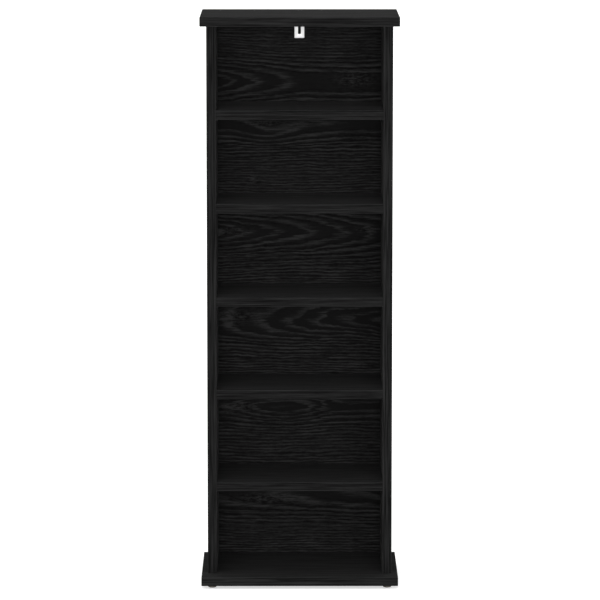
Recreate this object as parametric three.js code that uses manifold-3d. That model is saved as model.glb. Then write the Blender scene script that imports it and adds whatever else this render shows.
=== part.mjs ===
// A tall flat-pack tower for discs: two sides, five fixed shelves and a thin back stand between a
// top and a base that overhang them. Cam locks, bolts and dowels hold the boards together, and a
// slotted bracket at the top of the back ties the tower to a wall.
// Millimetres. +Z is up, the open front faces -Y, and z = 0 is the floor under the middle of the base.

import * as THREE from "three";
import { mergeVertices } from "three/addons/utils/BufferGeometryUtils.js";
import Module from "manifold-3d";

const wasm = await Module();
wasm.setup();

// Boards
const boardThickness = 15;
const edgeRadius = 1.2;
const bodyWidth = 300;
const sideDepth = 166;
const frontOverhang = 30;
const sideOverhang = 10;
const bayCount = 6;
const bayHeight = 136.7;
const backThickness = 3;
const backInset = 1; // the back stops this far short of the outside of each side
const backRecess = 1; // and this far short of the rear edges of top and base
const boardSeam = 0.1; // between two boards that meet

// Places of the fasteners, from the edges of the boards
const camInset = 38; // from the front edge of a side or shelf
const dowelInset = 38; // from its rear edge
const baseScrewInset = 36; // from the front and rear edges of a side
const boreClearance = 0.2; // round every fastener, in its bore
const boreEndGap = 0.4; // beyond a fastener's end, in a blind bore
const cutOverrun = 2; // how far a cutting tool starts outside the face it cuts

// Cam: a zinc drum whose hook draws the head of the bolt towards it
const camRadius = 7.3;
const camLength = 12;
const camSetback = 24; // from the end of its board to its axis
const camChamfer = 0.5;
const camDriveLength = 7;
const camDriveWidth = 1.5;
const camDriveDepth = 2.4;
const camHollowRadius = 4.9;
const hookStartRadius = 5.2;
const hookEndRadius = 3.7;
const camPlay = 0.3; // between the hook and the bolt inside it

// Bolt that the cam pulls on
const boltThreadRadius = 2.5;
const boltThreadLength = 11;
const boltTipLength = 1.2;
const boltCollarRadius = 3.6;
const boltCollarLength = 2.2;
const boltShankRadius = 2.6;
const boltNeckRadius = 1.9;
const boltHeadRadius = 3;
const boltHeadLength = 2.6;
const boltHeadTaper = 1;
const boltSeatGap = 0.1; // under the collar

// Dowel
const dowelRadius = 4;
const dowelInFace = 10; // how deep it sits in the board it stands on
const dowelInEnd = 20; // and in the end of the other board
const dowelChamfer = 0.9;
const dowelFluteDepth = 0.35;

// Screws that hold the sides on the base, from below
const baseScrewHeadRadius = 4.9;
const baseScrewCollarRadius = 3.5;
const baseScrewThreadRadius = 2.5;
const baseScrewConeLength = 3;
const baseScrewLength = 48;
const baseScrewTipLength = 2.4;
const baseScrewSocketRadius = 2.3;
const baseScrewSocketDepth = 2.8;

// Glides under the base, each held by a nail
const glideRadius = 7;
const glideHeight = 5;
const glideDomeRadius = 2;
const glideInset = 17.5; // from the edges of the base to the middle of a glide
const nailShankRadius = 1;
const nailHeadRadius = 2.9;
const nailHeadThickness = 1;
const nailRecess = 1.2; // from the floor up to the nail's head
const nailInBoard = 9.5;
const nailTipLength = 2;

// Wall bracket: a bent steel strip with a slot for the screw into the wall
const bracketWidth = 16;
const bracketThickness = 2;
const bracketDrop = 32; // down the back
const bracketReach = 24; // along the underside of the top
const bracketBendRadius = 1.5; // inside the bend
const bracketSlotWidth = 4.6;
const bracketSlotLength = 18;
const bracketSlotLift = 6; // from the lower end of the leg to the slot
const bracketGap = 0.2; // to the back and to the top
const bracketScrewInset = 9; // from the front end of the strip to the middle of the screw
const bracketScrewRadius = 1.8;
const bracketScrewHeadRadius = 3.9;
const bracketScrewHeadHeight = 2.2;
const bracketScrewLength = 11; // under its head
const bracketScrewTipLength = 2;
const bracketScrewSlotWidth = 0.9;
const bracketScrewSlotDepth = 1;

// Angles, counts and shares
const hookStart = Math.PI * 0.28; // the hook begins past the window, measured from the drum's far side
const hookEnd = Math.PI * 1.33; // and ends past the neck of the bolt
const windowTurn = Math.PI * 0.11; // where the window that lets the head in has come to when locked
const hookSteps = 8;
const edgeSteps = 2; // a rounded edge has twice this many facets
const largeSides = 16;
const mediumSides = 12;
const smallSides = 10;
const boltSides = 8;
const socketSides = 6;
const dowelFlutes = 8;
const filletLimitShare = 0.4; // a rounding takes at most this share of its board's thickness

// Sizes that follow
const boardWidth = bodyWidth + 2 * sideOverhang;
const boardDepth = frontOverhang + sideDepth + backThickness + backRecess;
const boardHalf = boardThickness / 2;
const innerHalf = bodyWidth / 2 - boardThickness;
const sideCentre = bodyWidth / 2 - boardHalf;
const frontY = -boardDepth / 2;
const bodyFrontY = frontY + frontOverhang;
const bodyRearY = bodyFrontY + sideDepth;
const bayPitch = bayHeight + boardThickness;
const baseTopZ = glideHeight + boardThickness;
const topUndersideZ = baseTopZ + bayCount * bayPitch - boardThickness;
const camLineY = bodyFrontY + camInset;
const dowelLineY = bodyRearY - dowelInset;
const backGap = boardSeam;

const RIGHT = new THREE.Vector3(1, 0, 0);
const LEFT = new THREE.Vector3(-1, 0, 0);
const UP = new THREE.Vector3(0, 0, 1);
const DOWN = new THREE.Vector3(0, 0, -1);
const REARWARD = new THREE.Vector3(0, 1, 0);
const SIDES = [
  { name: "left", sign: -1, inward: RIGHT },
  { name: "right", sign: 1, inward: LEFT },
];

// Finishes
const finish = (color, roughness, metalness) => new THREE.MeshStandardMaterial({ color, roughness, metalness });
const blackGrain = finish(0x2a2829, 0.65, 0);
const backBoard = finish(0x1e1c1d, 0.8, 0);
const beech = finish(0xc9a26e, 0.8, 0);
const zinc = finish(0xa9abac, 0.45, 0.9);
const steel = finish(0xb9babc, 0.35, 1);
const whitePaint = finish(0xf2f2f0, 0.45, 0.1);
const taupePlastic = finish(0x5b564e, 0.55, 0);

const tower = new THREE.Group();
const boardSolids = new Map();

// From a closed geometry to a solid that can be cut, with doubled points and empty faces dropped.
function solidOf(geometry) {
  const bare = geometry.index ? geometry.toNonIndexed() : geometry.clone();
  bare.deleteAttribute("normal");
  bare.deleteAttribute("uv");
  const merged = mergeVertices(bare);
  const corners = merged.index.array;
  const kept = [];
  for (let i = 0; i < corners.length; i += 3) {
    const [a, b, c] = [corners[i], corners[i + 1], corners[i + 2]];
    if (a !== b && b !== c && c !== a) {
      kept.push(a, b, c);
    }
  }
  return new wasm.Manifold(
    new wasm.Mesh({
      numProp: 3,
      vertProperties: merged.attributes.position.array,
      triVerts: new Uint32Array(kept),
    }),
  );
}

// And back to a geometry with flat faces.
function geometryOf(solid) {
  const mesh = solid.getMesh();
  const geometry = new THREE.BufferGeometry();
  geometry.setAttribute("position", new THREE.BufferAttribute(mesh.vertProperties, mesh.numProp));
  geometry.setIndex(new THREE.BufferAttribute(mesh.triVerts, 1));
  const flat = geometry.toNonIndexed();
  flat.computeVertexNormals();
  return flat;
}

// A mesh in a group, from a solid or a geometry.
function place(name, shape, material, parent) {
  const solid = shape.isBufferGeometry ? solidOf(shape) : shape;
  const mesh = new THREE.Mesh(geometryOf(solid), material);
  mesh.name = name;
  parent.add(mesh);
  return mesh;
}

// A shape turned round the x axis, from points [x, radius] that start and end on the axis.
function turned(points, sides) {
  const profile = points.map(([x, radius]) => new THREE.Vector2(radius, x));
  return new THREE.LatheGeometry(profile, sides).rotateZ(-Math.PI / 2);
}

// A bore along x. Its flats, not its corners, keep the clearance to what sits in it.
function boreAlongX(radius, from, to, sides) {
  const reach = (radius + boreClearance) / Math.cos(Math.PI / sides);
  return new THREE.CylinderGeometry(reach, reach, to - from, sides)
    .rotateZ(-Math.PI / 2)
    .translate((from + to) / 2, 0, 0);
}

// The same along z.
function boreAlongZ(radius, from, to, sides) {
  return boreAlongX(radius, from, to, sides).rotateY(-Math.PI / 2);
}

// A straight prism: an outline in x and y, from one height to another.
function prism(shape, from, to) {
  const options = { depth: to - from, bevelEnabled: false, curveSegments: 2 * edgeSteps };
  return new THREE.ExtrudeGeometry(shape, options).translate(0, 0, from);
}

function box(width, depth, height) {
  return new THREE.BoxGeometry(width, depth, height);
}

// A joint's own frame. x runs from the board that takes the thread into the end of the other board,
// and z towards the face that the cam is let into.
function jointFrame(origin, into, open) {
  const frame = new THREE.Group();
  const across = new THREE.Vector3().crossVectors(open, into);
  const basis = new THREE.Matrix4().makeBasis(into, across, open);
  frame.quaternion.setFromRotationMatrix(basis);
  frame.position.copy(origin);
  tower.add(frame);
  frame.updateMatrixWorld(true);
  return frame;
}

// Cuts a board with a tool that is given in a joint's frame.
function drill(board, tool, frame) {
  const toBoard = board.matrixWorld.clone().invert().multiply(frame.matrixWorld);
  const cutter = solidOf(tool.clone().applyMatrix4(toBoard));
  boardSolids.set(board, boardSolids.get(board).subtract(cutter));
}

// Boards. Each starts at its front edge in y and at its lowest face in z.

function addBoard(name, geometry, material, x, y, z) {
  const board = new THREE.Mesh(geometry, material);
  board.name = name;
  board.position.set(x, y, z);
  tower.add(board);
  board.updateMatrixWorld(true);
  boardSolids.set(board, solidOf(geometry));
  return board;
}

const edgeRounding = Math.min(edgeRadius, boardThickness * filletLimitShare);

// A section of depth by thickness, with both front corners rounded.
function boardSection() {
  const r = edgeRounding;
  const shape = new THREE.Shape();
  shape.moveTo(sideDepth, 0);
  shape.lineTo(sideDepth, boardThickness);
  shape.lineTo(r, boardThickness);
  shape.absarc(r, boardThickness - r, r, Math.PI / 2, Math.PI, false);
  shape.lineTo(0, r);
  shape.absarc(r, r, r, Math.PI, Math.PI * 1.5, false);
  return shape;
}

// The section carried along the length of a side or a shelf.
function longBoard(length) {
  const options = { depth: length, bevelEnabled: false, curveSegments: edgeSteps };
  return new THREE.ExtrudeGeometry(boardSection(), options);
}

function shelfGeometry() {
  const length = 2 * (innerHalf - boardSeam);
  const turn = new THREE.Matrix4().makeBasis(REARWARD, UP, RIGHT);
  return longBoard(length).applyMatrix4(turn).translate(-length / 2, 0, 0);
}

function sideGeometry() {
  const height = topUndersideZ - baseTopZ - 2 * boardSeam;
  const turn = new THREE.Matrix4().makeBasis(REARWARD, LEFT, UP);
  return longBoard(height).applyMatrix4(turn).translate(boardHalf, 0, 0);
}

// Top and base are rounded along all four edges.
function overhangingBoardGeometry() {
  const r = edgeRounding;
  const half = boardWidth / 2 - r;
  const outline = [
    [-half, r],
    [half, r],
    [half, boardDepth - r],
    [-half, boardDepth - r],
  ];
  const shape = new THREE.Shape(outline.map(([x, y]) => new THREE.Vector2(x, y)));
  const options = {
    depth: boardThickness - 2 * r,
    bevelEnabled: true,
    bevelThickness: r,
    bevelSize: r,
    bevelSegments: 2 * edgeSteps,
  };
  return new THREE.ExtrudeGeometry(shape, options).translate(0, 0, r);
}

function backGeometry() {
  const width = bodyWidth - 2 * backInset;
  const height = topUndersideZ - baseTopZ - 2 * boardSeam;
  const thickness = backThickness - backGap;
  return box(width, thickness, height).translate(0, thickness / 2, height / 2);
}

const topBoard = addBoard("top_board", overhangingBoardGeometry(), blackGrain, 0, frontY, topUndersideZ);
const baseBoard = addBoard("base_board", overhangingBoardGeometry(), blackGrain, 0, frontY, glideHeight);
addBoard("back_panel", backGeometry(), backBoard, 0, bodyRearY + backGap, baseTopZ + boardSeam);

for (const side of SIDES) {
  const x = side.sign * sideCentre;
  const z = baseTopZ + boardSeam;
  side.panel = addBoard("side_panel_" + side.name, sideGeometry(), blackGrain, x, bodyFrontY, z);
}

// Shelves are counted from the top.
const shelves = [];
for (let number = 1; number < bayCount; number += 1) {
  const z = topUndersideZ - number * bayPitch;
  const board = addBoard("shelf_" + number, shelfGeometry(), blackGrain, 0, bodyFrontY, z);
  shelves.push({ name: "shelf_" + number, board, middle: z + boardHalf });
}

// Cam joint

// The hook's inner edge: its radius shrinks steadily as the drum turns past the bolt.
function hookRadius(angle) {
  const turn = (angle - hookStart) / (hookEnd - hookStart);
  return hookStartRadius + (hookEndRadius - hookStartRadius) * turn;
}

// The hollow for the bolt's head: the hook on one side, a plain round wall on the other.
function hollowOutline() {
  const points = [];
  for (let i = 0; i <= hookSteps; i += 1) {
    const angle = hookStart + ((hookEnd - hookStart) * i) / hookSteps;
    points.push(new THREE.Vector2(hookRadius(angle) * Math.cos(angle), hookRadius(angle) * Math.sin(angle)));
  }
  const plainTurn = 2 * Math.PI + hookStart - hookEnd;
  for (let i = 1; i < hookSteps; i += 1) {
    const angle = hookEnd + (plainTurn * i) / hookSteps;
    points.push(new THREE.Vector2(camHollowRadius * Math.cos(angle), camHollowRadius * Math.sin(angle)));
  }
  return new THREE.Shape(points);
}

// The slit that the bolt's neck runs in: a slice of the drum, from its axis to past its rim.
function slitOutline() {
  const reach = camRadius + cutOverrun;
  const shape = new THREE.Shape();
  shape.moveTo(0, 0);
  shape.absarc(0, 0, reach, hookStart, hookEnd, false);
  return shape;
}

const headRoom = boltHeadRadius + camPlay;
const neckRoom = boltNeckRadius + camPlay;

// The drum, with its axis on z, its slotted face at the board's face and the bolt's axis at z = 0.
function camSolid() {
  const top = boardHalf;
  const bottom = boardHalf - camLength;
  const drum = turned(
    [
      [bottom, 0],
      [bottom, camRadius - camChamfer],
      [bottom + camChamfer, camRadius],
      [top, camRadius],
      [top, 0],
    ],
    largeSides,
  ).rotateY(-Math.PI / 2);
  const hollow = prism(hollowOutline(), bottom - cutOverrun, headRoom);
  const slit = prism(slitOutline(), -neckRoom, neckRoom);
  const reach = camRadius + cutOverrun;
  const height = headRoom - bottom + cutOverrun;
  const window = box(reach, 2 * headRoom, height)
    .translate(reach / 2, 0, headRoom - height / 2)
    .rotateZ(windowTurn);
  const driveHeight = camDriveDepth + cutOverrun;
  const driveSlot = box(camDriveLength, camDriveWidth, driveHeight).translate(
    0,
    0,
    top + cutOverrun - driveHeight / 2,
  );
  const cross = solidOf(driveSlot).add(solidOf(driveSlot.clone().rotateZ(Math.PI / 2)));
  const opening = solidOf(hollow).add(solidOf(slit)).add(solidOf(window));
  return solidOf(drum).subtract(opening).subtract(cross);
}

// The bolt, along x from its thread to the head that the hook holds.
function boltGeometry() {
  const hookFace = camSetback - hookRadius(Math.PI);
  const headStart = hookFace + camPlay;
  const neckStart = camSetback - camRadius - camPlay;
  const headFull = headStart + boltHeadTaper;
  const headEnd = headStart + boltHeadLength;
  return turned(
    [
      [-boltThreadLength, 0],
      [-boltThreadLength, boltThreadRadius - boltTipLength],
      [-boltThreadLength + boltTipLength, boltThreadRadius],
      [boltSeatGap, boltThreadRadius],
      [boltSeatGap, boltCollarRadius],
      [boltSeatGap + boltCollarLength, boltCollarRadius],
      [boltSeatGap + boltCollarLength, boltShankRadius],
      [neckStart, boltShankRadius],
      [neckStart, boltNeckRadius],
      [headStart, boltNeckRadius],
      [headFull, boltHeadRadius],
      [headEnd, boltHeadRadius],
      [headEnd, 0],
    ],
    boltSides,
  );
}

function addCamJoint(prefix, suffix, faceBoard, endBoard, frame) {
  const cam = place(prefix + "_cam_" + suffix, camSolid(), zinc, frame);
  cam.position.x = camSetback;
  place(prefix + "_cam_bolt_" + suffix, boltGeometry(), steel, frame);
  const threadEnd = -boltThreadLength - boreEndGap;
  drill(faceBoard, boreAlongX(boltThreadRadius, threadEnd, cutOverrun, mediumSides), frame);
  drill(endBoard, boreAlongX(boltCollarRadius, -cutOverrun, camSetback, mediumSides), frame);
  const camBottom = boardHalf - camLength - boreEndGap;
  const camBore = boreAlongZ(camRadius, camBottom, boardHalf + cutOverrun, largeSides);
  drill(endBoard, camBore.translate(camSetback, 0, 0), frame);
}

// Dowel

// A round outline with a shallow groove between each two ridges.
function flutedOutline(radius) {
  const points = [];
  for (let i = 0; i < 2 * dowelFlutes; i += 1) {
    const angle = (Math.PI * i) / dowelFlutes;
    const reach = i % 2 ? radius - dowelFluteDepth : radius;
    points.push(new THREE.Vector2(reach * Math.cos(angle), reach * Math.sin(angle)));
  }
  return new THREE.Shape(points);
}

function dowelGeometry() {
  const options = {
    depth: dowelInFace + dowelInEnd - 2 * dowelChamfer,
    bevelEnabled: true,
    bevelThickness: dowelChamfer,
    bevelSize: dowelChamfer,
    bevelOffset: -dowelChamfer,
    bevelSegments: 1,
  };
  return new THREE.ExtrudeGeometry(flutedOutline(dowelRadius), options)
    .translate(0, 0, dowelChamfer - dowelInFace)
    .rotateY(Math.PI / 2);
}

function addDowel(name, faceBoard, endBoard, frame) {
  place(name, dowelGeometry(), beech, frame);
  drill(faceBoard, boreAlongX(dowelRadius, -dowelInFace - boreEndGap, cutOverrun, mediumSides), frame);
  drill(endBoard, boreAlongX(dowelRadius, -cutOverrun, dowelInEnd + boreEndGap, mediumSides), frame);
}

// Each end of each shelf has a cam under its front and a dowel near its rear.
for (const { name, board, middle } of shelves) {
  for (const side of SIDES) {
    const x = side.sign * innerHalf;
    const camFrame = jointFrame(new THREE.Vector3(x, camLineY, middle), side.inward, DOWN);
    addCamJoint(name, side.name, side.panel, board, camFrame);
    const dowelFrame = jointFrame(new THREE.Vector3(x, dowelLineY, middle), side.inward, DOWN);
    addDowel(name + "_dowel_" + side.name, side.panel, board, dowelFrame);
  }
}

// The top sits on the sides in the same way, its cams let into their inner faces.
for (const side of SIDES) {
  const x = side.sign * sideCentre;
  const camFrame = jointFrame(new THREE.Vector3(x, camLineY, topUndersideZ), DOWN, side.inward);
  addCamJoint("top", side.name, topBoard, side.panel, camFrame);
  const dowelFrame = jointFrame(new THREE.Vector3(x, dowelLineY, topUndersideZ), DOWN, side.inward);
  addDowel("top_dowel_" + side.name, topBoard, side.panel, dowelFrame);
}

// Base screws

// The screw, along x from its countersunk head to its tip, with its head flush under the base.
function baseScrewSolid() {
  const head = -boardThickness;
  const tip = head + baseScrewLength;
  const coneEnd = head + baseScrewConeLength;
  const screw = turned(
    [
      [head, 0],
      [head, baseScrewHeadRadius],
      [coneEnd, baseScrewCollarRadius],
      [-boardSeam, baseScrewCollarRadius],
      [-boardSeam, baseScrewThreadRadius],
      [tip - baseScrewTipLength, baseScrewThreadRadius],
      [tip, 0],
    ],
    mediumSides,
  );
  const radius = baseScrewSocketRadius;
  const socketLength = baseScrewSocketDepth + cutOverrun;
  const socket = new THREE.CylinderGeometry(radius, radius, socketLength, socketSides)
    .rotateZ(-Math.PI / 2)
    .translate(head - cutOverrun + socketLength / 2, 0, 0);
  return solidOf(screw).subtract(solidOf(socket));
}

// The countersink: the head's cone with the clearance round it.
function countersink() {
  const wide = (baseScrewHeadRadius + boreClearance) / Math.cos(Math.PI / mediumSides);
  const narrow = (baseScrewCollarRadius + boreClearance) / Math.cos(Math.PI / mediumSides);
  const coneEnd = -boardThickness + baseScrewConeLength;
  return turned(
    [
      [-boardThickness - cutOverrun, 0],
      [-boardThickness - cutOverrun, wide],
      [-boardThickness, wide],
      [coneEnd, narrow],
      [coneEnd + cutOverrun, narrow],
      [coneEnd + cutOverrun, 0],
    ],
    mediumSides,
  );
}

for (const side of SIDES) {
  for (const end of ["front", "rear"]) {
    const y = end === "front" ? bodyFrontY + baseScrewInset : bodyRearY - baseScrewInset;
    const frame = jointFrame(new THREE.Vector3(side.sign * sideCentre, y, baseTopZ), UP, side.inward);
    place("base_screw_" + end + "_" + side.name, baseScrewSolid(), steel, frame);
    drill(baseBoard, countersink(), frame);
    const through = boreAlongX(
      baseScrewCollarRadius,
      -boardThickness - cutOverrun,
      cutOverrun,
      mediumSides,
    );
    drill(baseBoard, through, frame);
    const depth = baseScrewLength - boardThickness + boreEndGap;
    drill(side.panel, boreAlongX(baseScrewThreadRadius, -cutOverrun, depth, mediumSides), frame);
  }
}

// Glides

// A domed disc with a stepped hole, turned from a profile that closes on itself.
function glideGeometry() {
  const hole = nailShankRadius + boreClearance;
  const recess = nailHeadRadius + boreClearance;
  const seat = nailRecess + nailHeadThickness + boreClearance;
  const dome = new THREE.Path();
  dome.absarc(
    glideRadius - glideDomeRadius,
    glideDomeRadius,
    glideDomeRadius,
    -Math.PI / 2,
    0,
    false,
  );
  const rim = dome.getPoints(edgeSteps).map((p) => [p.y, p.x]);
  const top = glideHeight - boardSeam;
  const loop = [[seat, hole], [seat, recess], [0, recess], ...rim, [top, glideRadius], [top, hole], [seat, hole]];
  return turned(loop, largeSides).rotateY(-Math.PI / 2);
}

function nailGeometry() {
  const tip = glideHeight + nailInBoard;
  const under = nailRecess + nailHeadThickness;
  return turned(
    [
      [nailRecess, 0],
      [nailRecess, nailHeadRadius],
      [under, nailHeadRadius],
      [under, nailShankRadius],
      [tip - nailTipLength, nailShankRadius],
      [tip, 0],
    ],
    smallSides,
  ).rotateY(-Math.PI / 2);
}

for (const side of SIDES) {
  for (const end of ["front", "rear"]) {
    const x = side.sign * (boardWidth / 2 - glideInset);
    const y = end === "front" ? frontY + glideInset : -frontY - glideInset;
    const foot = new THREE.Group();
    foot.position.set(x, y, 0);
    tower.add(foot);
    foot.updateMatrixWorld(true);
    place("glide_" + end + "_" + side.name, glideGeometry(), taupePlastic, foot);
    place("glide_nail_" + end + "_" + side.name, nailGeometry(), steel, foot);
    const depth = glideHeight + nailInBoard + boreEndGap;
    drill(baseBoard, boreAlongZ(nailShankRadius, glideHeight - cutOverrun, depth, smallSides), foot);
  }
}

// Wall bracket

// The bent strip: down the back, round the bend and forward under the top, in a frame whose origin is
// where the back meets the top.
function bracketSolid() {
  const outer = bracketBendRadius + bracketThickness;
  const near = -bracketGap;
  const far = near - bracketThickness;
  const bendY = near - outer;
  const strip = new THREE.Shape();
  strip.moveTo(near, -bracketDrop);
  strip.lineTo(near, near - outer);
  strip.absarc(bendY, near - outer, outer, 0, Math.PI / 2, false);
  strip.lineTo(-bracketReach, near);
  strip.lineTo(-bracketReach, far);
  strip.lineTo(bendY, far);
  strip.absarc(bendY, near - outer, bracketBendRadius, Math.PI / 2, 0, true);
  strip.lineTo(far, -bracketDrop);
  const options = { depth: bracketWidth, bevelEnabled: false, curveSegments: edgeSteps };
  const turn = new THREE.Matrix4().makeBasis(REARWARD, UP, RIGHT);
  const bent = new THREE.ExtrudeGeometry(strip, options)
    .applyMatrix4(turn)
    .translate(-bracketWidth / 2, 0, 0);
  const slot = slotGeometry();
  const hole = boreAlongZ(bracketScrewRadius, far - cutOverrun, cutOverrun, mediumSides);
  hole.translate(0, bracketScrewInset - bracketReach, 0);
  return solidOf(bent).subtract(solidOf(slot)).subtract(solidOf(hole));
}

// The slot's cutter: an outline with round ends, carried through the leg.
function slotGeometry() {
  const r = bracketSlotWidth / 2;
  const low = bracketSlotLift - bracketDrop + r;
  const high = low + bracketSlotLength - bracketSlotWidth;
  const shape = new THREE.Shape();
  shape.absarc(0, low, r, Math.PI, 2 * Math.PI, false);
  shape.absarc(0, high, r, 0, Math.PI, false);
  const reach = bracketThickness + bracketGap + 2 * cutOverrun;
  const options = { depth: reach, bevelEnabled: false, curveSegments: 2 * edgeSteps };
  return new THREE.ExtrudeGeometry(shape, options).rotateX(Math.PI / 2).translate(0, cutOverrun, 0);
}

// A pan-headed screw with a cross in its head, pointing up into the top.
function bracketScrewSolid() {
  const seat = -bracketGap - bracketThickness - boreClearance;
  const head = seat - bracketScrewHeadHeight;
  const tip = seat + bracketScrewLength;
  const shoulder = head + bracketScrewHeadHeight / 2;
  const crown = bracketScrewHeadRadius - bracketScrewHeadHeight / 2;
  const screw = turned(
    [
      [head, 0],
      [head, crown],
      [shoulder, bracketScrewHeadRadius],
      [seat, bracketScrewHeadRadius],
      [seat, bracketScrewRadius],
      [tip - bracketScrewTipLength, bracketScrewRadius],
      [tip, 0],
    ],
    smallSides,
  ).rotateY(-Math.PI / 2);
  const slotHeight = bracketScrewSlotDepth + cutOverrun;
  const slot = box(2 * bracketScrewRadius, bracketScrewSlotWidth, slotHeight).translate(
    0,
    0,
    head + bracketScrewSlotDepth - slotHeight / 2,
  );
  const cross = solidOf(slot).add(solidOf(slot.clone().rotateZ(Math.PI / 2)));
  return solidOf(screw).subtract(cross);
}

const corner = new THREE.Group();
corner.position.set(0, bodyRearY + backGap, topUndersideZ);
tower.add(corner);
place("wall_bracket", bracketSolid(), whitePaint, corner);
const screwSpot = new THREE.Group();
screwSpot.position.set(0, bracketScrewInset - bracketReach, 0);
corner.add(screwSpot);
corner.updateMatrixWorld(true);
place("wall_bracket_screw", bracketScrewSolid(), steel, screwSpot);
const screwDepth = bracketScrewLength - bracketThickness - bracketGap - boreClearance + boreEndGap;
drill(topBoard, boreAlongZ(bracketScrewRadius, -cutOverrun, screwDepth, mediumSides), screwSpot);

// The boards get their cut shapes last, when every joint has drilled them.
for (const [board, solid] of boardSolids) {
  board.geometry = geometryOf(solid);
}

export default tower;
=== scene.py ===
# %% [markdown]
# # A storage tower for discs, dressed
#
# The tower is flat-pack furniture. Two sides, five fixed shelves and a thin back stand between a top and
# a base, all of them particleboard or hardboard wrapped in a black foil with an oak print. Its solids
# are modelled elsewhere and load here as a fixed frame, so this lesson is about what they look like: the
# print, which is different on every board, the metal and plastic of the small fittings, and the few
# pieces that need a finer shape than the frame's.
#
# All lengths are metres. +Z is up, the open front faces -Y, and the floor is at z = 0.

# %% Load the frame
import math

import bmesh
import bpy
import numpy as np
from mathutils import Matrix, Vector


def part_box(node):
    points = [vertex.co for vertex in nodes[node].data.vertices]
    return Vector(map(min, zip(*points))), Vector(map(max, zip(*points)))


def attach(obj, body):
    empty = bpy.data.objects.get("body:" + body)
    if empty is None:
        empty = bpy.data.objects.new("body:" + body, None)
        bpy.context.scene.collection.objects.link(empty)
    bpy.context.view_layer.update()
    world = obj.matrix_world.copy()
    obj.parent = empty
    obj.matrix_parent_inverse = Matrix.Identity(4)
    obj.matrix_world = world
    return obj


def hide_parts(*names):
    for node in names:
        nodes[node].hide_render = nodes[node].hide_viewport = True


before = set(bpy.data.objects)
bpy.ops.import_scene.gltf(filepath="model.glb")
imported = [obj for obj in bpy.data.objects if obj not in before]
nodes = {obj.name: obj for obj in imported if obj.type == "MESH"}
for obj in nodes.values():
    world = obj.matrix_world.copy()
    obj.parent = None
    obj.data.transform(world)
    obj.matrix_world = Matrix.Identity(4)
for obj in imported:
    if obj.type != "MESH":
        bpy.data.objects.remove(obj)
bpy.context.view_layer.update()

MM = 0.001


def in_mm(*lengths):
    return [round(length / MM, 1) for length in lengths]


# %% [markdown]
# ## The camera
#
# The photograph looks slightly down on the tower from six metres away through a long lens, so its lines
# hardly converge. A wide lens close by would open the view into the bays and onto the top far more. The
# place, the tilt and the focal length were worked out together from the corners of the boards.

# %% Place the camera
IMAGE_SIDE = 600  # pixels
SENSOR_WIDTH = 36  # millimetres, as Blender counts a sensor and a lens
FOCAL_PIXELS = 3785
CAMERA_PLACE = Vector((-0.016, -6.130, 1.339))
CAMERA_TILT = math.radians(8.15)  # below the horizon
CAMERA_TURN = math.radians(0.156)  # towards +X

camera_data = bpy.data.cameras.new("camera")
camera_data.sensor_width = SENSOR_WIDTH
camera_data.lens = FOCAL_PIXELS / IMAGE_SIDE * SENSOR_WIDTH
camera_data.clip_end = 100
camera = bpy.data.objects.new("camera", camera_data)
camera.location = CAMERA_PLACE
camera.rotation_euler = (math.pi / 2 - CAMERA_TILT, 0, -CAMERA_TURN)
bpy.context.scene.collection.objects.link(camera)
bpy.context.scene.camera = camera
print("lens in mm:", round(camera_data.lens, 1))

# %% [markdown]
# ## Wiring nodes
#
# Every finish below is a small network of shader nodes. Written out one link at a time, such a network
# hides what it computes, so this helper lets it be written as a sum: each method adds a node, feeds it
# with plain numbers or with the outputs of other nodes, and returns its output.


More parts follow.
